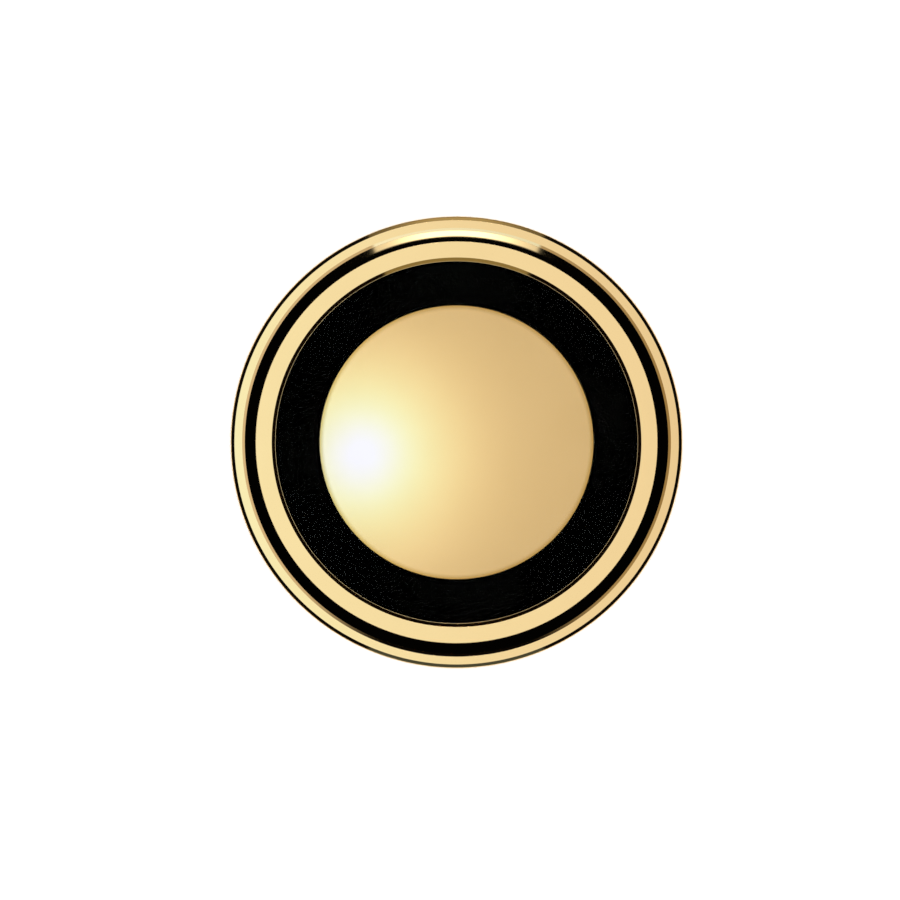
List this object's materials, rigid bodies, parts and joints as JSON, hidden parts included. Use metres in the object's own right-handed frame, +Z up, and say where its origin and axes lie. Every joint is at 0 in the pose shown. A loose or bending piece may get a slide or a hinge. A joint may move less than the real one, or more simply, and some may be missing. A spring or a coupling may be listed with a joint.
{
  "type": "coin capsule",
  "caption": "Round gold-framed coin capsule with clear front and rear windows, a pull-off front cover and a black foam ring that centres a domed blank coin.",
  "frame": {"origin": "centre of the underside of the rear frame, on the surface the capsule rests on", "axes": "+Z up, out of the front window along the capsule's axis; +X to the right and +Y to the top as the front face is looked at"},
  "size_m": [0.0444, 0.0444, 0.007],
  "materials": {
    "gold_plate": "polished gold plate over brass, fine turning marks",
    "coin_gold": "satin gold, smooth domed face",
    "black_gloss": "black mirror gloss",
    "black_foam": "matt black closed-cell foam",
    "black_rubber": "satin black rubber",
    "clear_window": "clear, anti-reflection coated"
  },
  "bodies": {
    "rear_half": {"rear_frame": "gold_plate", "rear_window_gasket": "black_rubber", "rear_window": "clear_window", "rear_retainer": "gold_plate", "case_seal": "black_rubber"},
    "lid": {"front_frame": "gold_plate", "plug_o_ring": "black_rubber", "front_window_gasket": "black_rubber", "front_window": "clear_window", "front_bezel": "gold_plate", "shoulder_band": "black_gloss"},
    "foam": {"foam_ring": "black_foam"},
    "blank": {"coin": "coin_gold"}
  },
  "joints": [
    {"name": "lid_lift", "type": "slide", "parent": "rear_half", "child": "lid", "axis": [0, 0, 1], "range_m": [0, 0.024]},
    {"name": "foam_lift", "type": "slide", "parent": "rear_half", "child": "foam", "axis": [0, 0, 1], "range_m": [0, 0.008]},
    {"name": "coin_lift", "type": "slide", "parent": "rear_half", "child": "blank", "axis": [0, 0, 1], "range_m": [0, 0.016]}
  ],
  "couplings": [
    {"joint": "foam_lift", "follows": "lid_lift", "ratio": 0.3333},
    {"joint": "coin_lift", "follows": "lid_lift", "ratio": 0.6666}
  ]
}
